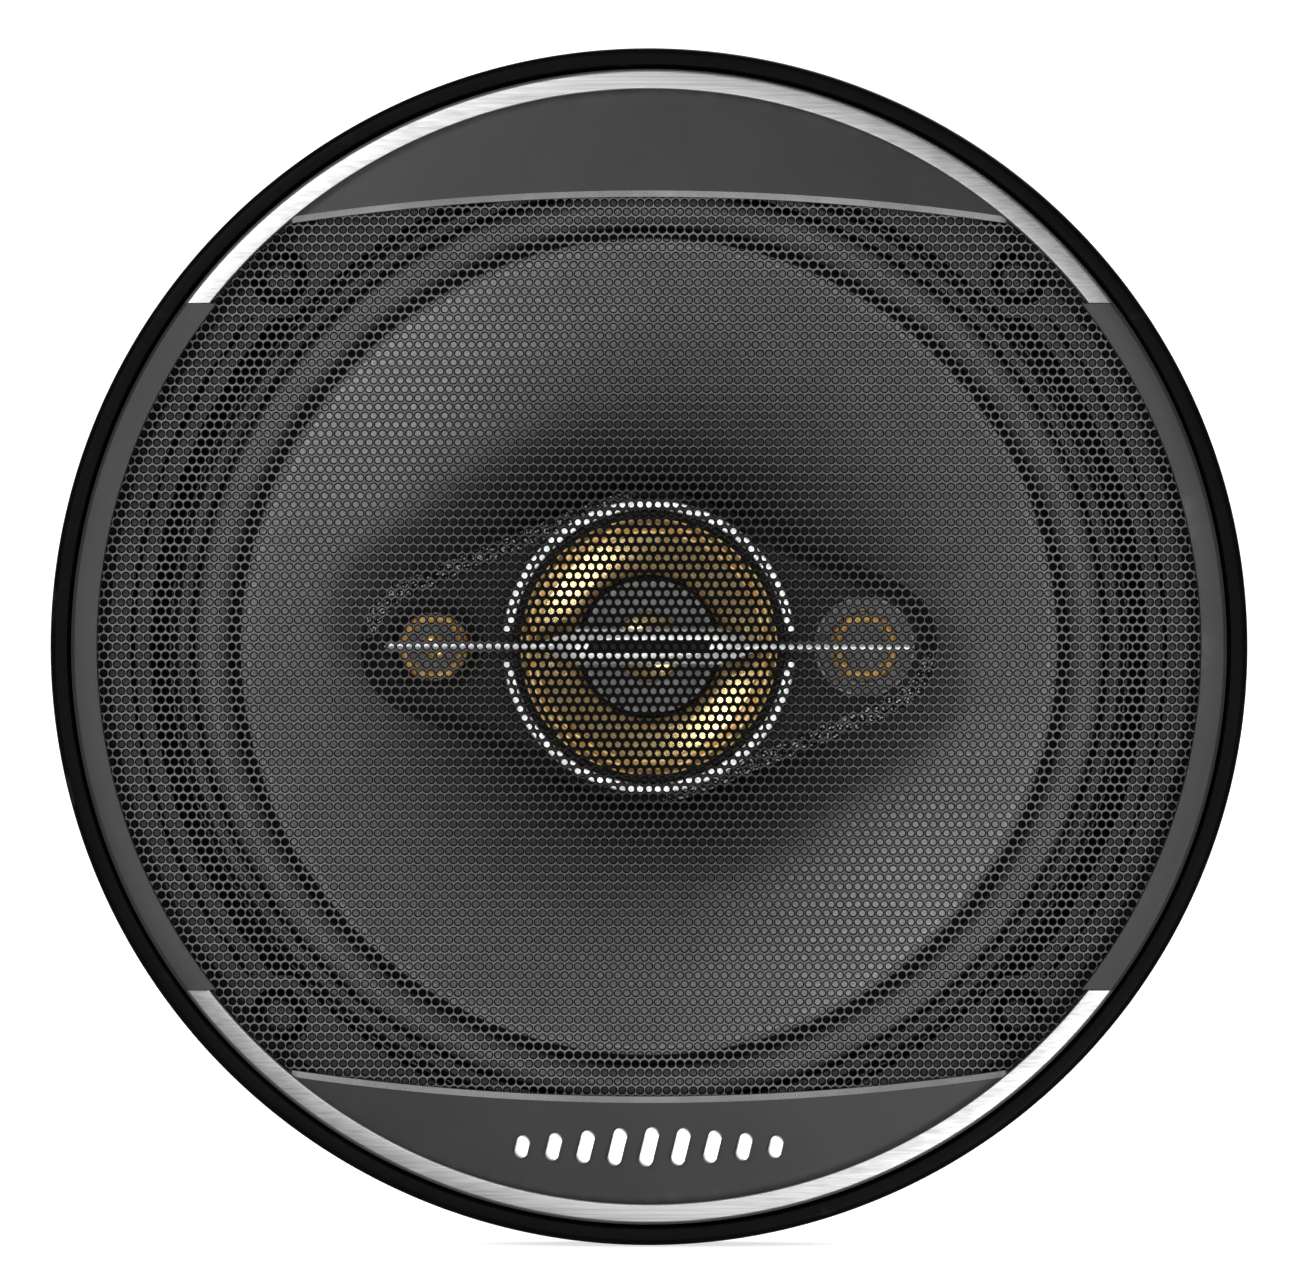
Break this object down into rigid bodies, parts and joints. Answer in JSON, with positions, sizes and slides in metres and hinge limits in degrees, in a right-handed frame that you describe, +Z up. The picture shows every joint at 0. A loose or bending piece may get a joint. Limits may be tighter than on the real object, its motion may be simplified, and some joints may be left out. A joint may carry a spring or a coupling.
{
  "type": "coaxial car speaker",
  "caption": "Round coaxial car speaker: clip-on mesh grille over a cone, midrange and side tweeters on a bridge, with basket and magnet motor behind.",
  "frame": {"origin": "centre of the circle of the four door screws, on the door panel's face", "axes": "-Y towards the listener, +Y into the door, +Z up, +X to the right as the listener sees it"},
  "size_m": [0.18, 0.0732, 0.18],
  "materials": {
    "ring_plastic": "satin",
    "frame_plastic": "satin",
    "mesh_steel": "satin",
    "brushed_trim": "satin",
    "bright_trim": "polished",
    "basket_steel": "satin",
    "black_screw": "satin",
    "zinc_steel": "satin",
    "gasket_foam": "matte",
    "surround_rubber": "satin",
    "cone_fibre": "satin",
    "spider_cloth": "matte",
    "former_foil": "satin",
    "copper_wire": "satin",
    "ferrite": "matte",
    "motor_steel": "satin",
    "bridge_plastic": "satin",
    "gold_film": "polished",
    "grey_plastic": "satin",
    "terminal_brass": "satin",
    "board_plastic": "matte",
    "capacitor_sleeve": "gloss"
  },
  "bodies": {
    "chassis": {"mount_ring": "ring_plastic", "door_screws": "black_screw", "basket": "basket_steel", "motor_rivets": "zinc_steel", "front_gasket": "gasket_foam", "surround": "surround_rubber", "spider": "spider_cloth", "top_plate": "motor_steel", "magnet": "ferrite", "pole_yoke": "motor_steel", "bridge_post": "bridge_plastic", "post_screw": "zinc_steel", "bridge_base": "bridge_plastic", "bridge_cover": "bridge_plastic", "mid_bezel": "bright_trim", "accent_bar": "bright_trim", "mid_frame": "bridge_plastic", "mid_surround": "gold_film", "mid_yoke": "motor_steel", "mid_magnet": "ferrite", "mid_top_plate": "motor_steel", "center_horn": "grey_plastic", "left_horn": "grey_plastic", "right_horn": "grey_plastic", "left_tweeter_magnet": "ferrite", "right_tweeter_magnet": "ferrite", "left_tweeter_bullet": "gold_film", "terminal_plate": "board_plastic", "terminal_positive": "terminal_brass", "terminal_negative": "terminal_brass", "terminal_rivets": "zinc_steel", "crossover_capacitors": "capacitor_sleeve", "tinsel_lead_positive": "copper_wire", "tinsel_lead_negative": "copper_wire"},
    "grille": {"grille_frame": "frame_plastic", "grille_mesh": "mesh_steel", "mesh_retainer": "ring_plastic", "trim_arc_top": "brushed_trim", "trim_arc_bottom": "brushed_trim", "badge_bars": "bright_trim"},
    "woofer_cone": {"cone": "cone_fibre", "voice_coil_former": "former_foil", "voice_coil_winding": "copper_wire", "lead_eyelets": "terminal_brass"},
    "midrange_cone": {"mid_diaphragm": "gold_film", "mid_coil": "copper_wire"},
    "center_tweeter": {"center_dome": "gold_film"},
    "left_tweeter": {"left_tweeter_ring": "gold_film", "left_tweeter_cap": "grey_plastic"},
    "right_tweeter": {"right_tweeter_ring": "gold_film", "right_tweeter_cap": "grey_plastic"}
  },
  "joints": [
    {"name": "grille_pull_off", "type": "slide", "parent": "chassis", "child": "grille", "axis": [0, -1, 0], "range_m": [0, 0.04]},
    {"name": "woofer_travel", "type": "slide", "parent": "chassis", "child": "woofer_cone", "axis": [0, -1, 0], "range_m": [-0.004, 0.004], "stiffness_N_per_m": 1400, "deforming": ["surround", "spider", "tinsel_lead_positive", "tinsel_lead_negative"]},
    {"name": "midrange_travel", "type": "slide", "parent": "chassis", "child": "midrange_cone", "axis": [0, -1, 0], "range_m": [-0.0004, 0.0004], "stiffness_N_per_m": 4000, "deforming": ["mid_surround"]},
    {"name": "center_tweeter_travel", "type": "slide", "parent": "chassis", "child": "center_tweeter", "axis": [0, -1, 0], "range_m": [-0.00015, 0.00015], "stiffness_N_per_m": 3000},
    {"name": "left_tweeter_travel", "type": "slide", "parent": "chassis", "child": "left_tweeter", "axis": [0, -1, 0], "range_m": [-0.00015, 0.00015], "stiffness_N_per_m": 3000},
    {"name": "right_tweeter_travel", "type": "slide", "parent": "chassis", "child": "right_tweeter", "axis": [0, -1, 0], "range_m": [-0.00015, 0.00015], "stiffness_N_per_m": 3000}
  ]
}
